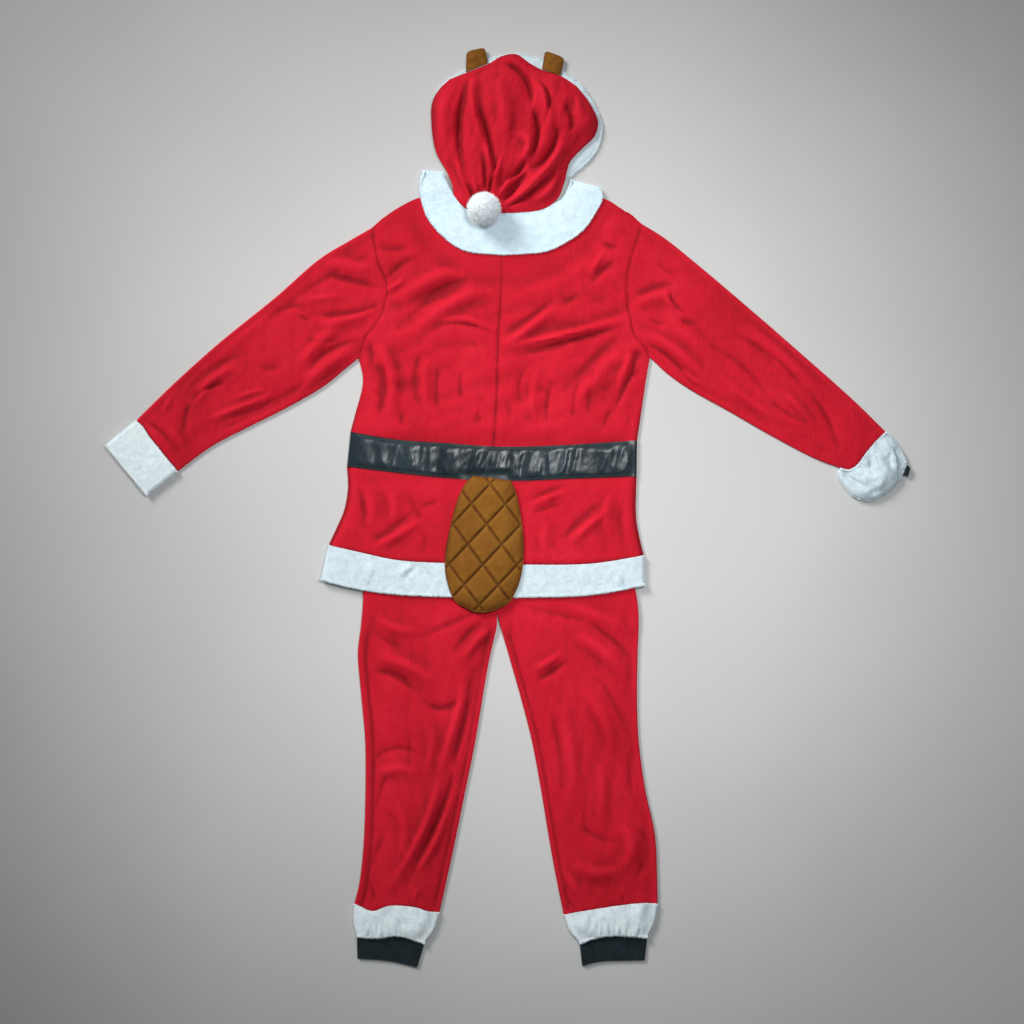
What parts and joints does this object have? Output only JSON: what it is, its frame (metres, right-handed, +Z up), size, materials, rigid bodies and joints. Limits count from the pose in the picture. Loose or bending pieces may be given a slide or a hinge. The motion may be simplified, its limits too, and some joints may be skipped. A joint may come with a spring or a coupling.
{
  "type": "santa union suit",
  "caption": "Hooded one-piece santa suit laid flat, back up: fleece trims, belt, short skirt, pompom hat hood, ear tabs and quilted paddle tail.",
  "frame": {"origin": "on the surface the suit lies on, under the middle of the belt", "axes": "+Y towards the hood, +Z up away from the surface (the back of the suit is up), +X to the right seen from above"},
  "size_m": [1.567, 1.791, 0.0711],
  "materials": {
    "red_velour": "short plush velour, soft sheen",
    "white_fleece": "fluffy fleece",
    "black_coated": "glossy crinkled coated cloth, topstitched",
    "charcoal_rib": "fine rib knit, matte",
    "brown_plush": "short plush, quilted"
  },
  "bodies": {
    "root": {"bodice_back_left": "red_velour", "bodice_back_right": "red_velour", "bodice_front_left": "red_velour", "bodice_front_right": "red_velour", "front_zip": "red_velour", "sleeve_left": "red_velour", "sleeve_right": "red_velour", "cuff_left": "white_fleece", "cuff_left_rib": "charcoal_rib", "cuff_right": "white_fleece", "cuff_right_rib": "charcoal_rib", "belt": "black_coated", "peplum_back": "red_velour", "peplum_front": "red_velour", "hem_band": "white_fleece", "leg_left": "red_velour", "leg_right": "red_velour", "ankle_band_left": "white_fleece", "ankle_band_right": "white_fleece", "ankle_rib_left": "charcoal_rib", "ankle_rib_right": "charcoal_rib", "collar_front": "white_fleece", "collar_back": "white_fleece", "hood_brim": "white_fleece", "hat_crown": "red_velour", "pompom": "white_fleece", "ear_left": "brown_plush", "ear_right": "brown_plush", "tail": "brown_plush"}
  },
  "joints": []
}
